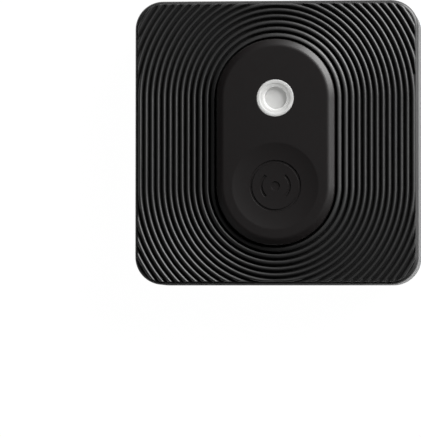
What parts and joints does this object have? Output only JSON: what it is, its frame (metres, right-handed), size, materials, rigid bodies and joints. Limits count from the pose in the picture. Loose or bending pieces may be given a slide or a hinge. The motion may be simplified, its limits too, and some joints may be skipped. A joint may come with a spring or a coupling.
{
  "type": "bluetooth tracker tag",
  "caption": "Square black radio tag with a ribbed face, a raised press pad with an indicator light, and a quarter-turn battery door behind.",
  "frame": {"origin": "centre of the mounting tape's lower face, which is the bottom of the tag lying on its back", "axes": "+Z out of the ribbed front, +Y towards the indicator light's end of the press pad, +X to the right of the front"},
  "size_m": [0.038, 0.038, 0.0116],
  "materials": {
    "black_housing": "moulded, satin",
    "black_pad": "moulded, soft touch",
    "light_plastic": "translucent, moulded",
    "seal_rubber": "moulded",
    "silicone": "moulded",
    "foam_tape": "closed-cell foam with adhesive",
    "screw_steel": "blackened, turned",
    "inner_plastic": "moulded",
    "board_laminate": "glass-fibre laminate with solder mask",
    "chip_black": "moulded epoxy",
    "tin_metal": "tin plated",
    "spring_steel": "rolled",
    "contact_metal": "gold plated spring strip",
    "copper_wire": "enamelled copper wire",
    "lamp_resin": "clear resin",
    "ceramic_body": "fired",
    "cell_steel": "nickel plated",
    "cell_core": "pressed powder and foil",
    "nylon": "moulded"
  },
  "bodies": {
    "housing": {"front_cover": "black_housing", "pad_seal": "silicone", "housing_seal": "silicone", "rear_cover": "black_housing", "mounting_tape": "foam_tape", "case_screws": "screw_steel", "cell_cradle": "inner_plastic", "circuit_board": "board_laminate", "switch_base": "chip_black", "switch_frame": "tin_metal", "switch_dome": "spring_steel", "switch_terminals": "tin_metal", "status_led": "lamp_resin", "radio_chip": "chip_black", "main_crystal": "tin_metal", "clock_crystal": "tin_metal", "chip_antenna": "ceramic_body", "sounder_case": "chip_black", "sounder_coil": "copper_wire", "sounder_diaphragm": "spring_steel", "capacitors": "ceramic_body", "resistors": "chip_black", "inductors": "ceramic_body", "coin_cell_can": "cell_steel", "coin_cell_cap": "cell_steel", "coin_cell_grommet": "nylon", "coin_cell_core": "cell_core", "cell_contact_positive": "contact_metal", "cell_contact_negative": "contact_metal"},
    "pad": {"press_pad": "black_pad", "light_guide": "light_plastic"},
    "plunger": {"switch_plunger": "nylon"},
    "door": {"battery_door": "black_housing", "door_seal": "seal_rubber"}
  },
  "joints": [
    {"name": "pad_press", "type": "slide", "parent": "housing", "child": "pad", "axis": [0, 0, -1], "range_m": [0, 0.00025], "stiffness_N_per_m": 2000, "springref_m": -0.0001, "deforming": ["pad_seal"]},
    {"name": "plunger_travel", "type": "slide", "parent": "housing", "child": "plunger", "axis": [0, 0, -1], "range_m": [0, 0.00025], "deforming": ["switch_dome"]},
    {"name": "door_twist", "type": "hinge", "parent": "housing", "child": "door", "pos_m": [0, 0, 0.00145], "axis": [0, 0, -1], "range_deg": [0, 40]}
  ],
  "couplings": [
    {"joint": "plunger_travel", "follows": "pad_press", "ratio": 1}
  ]
}
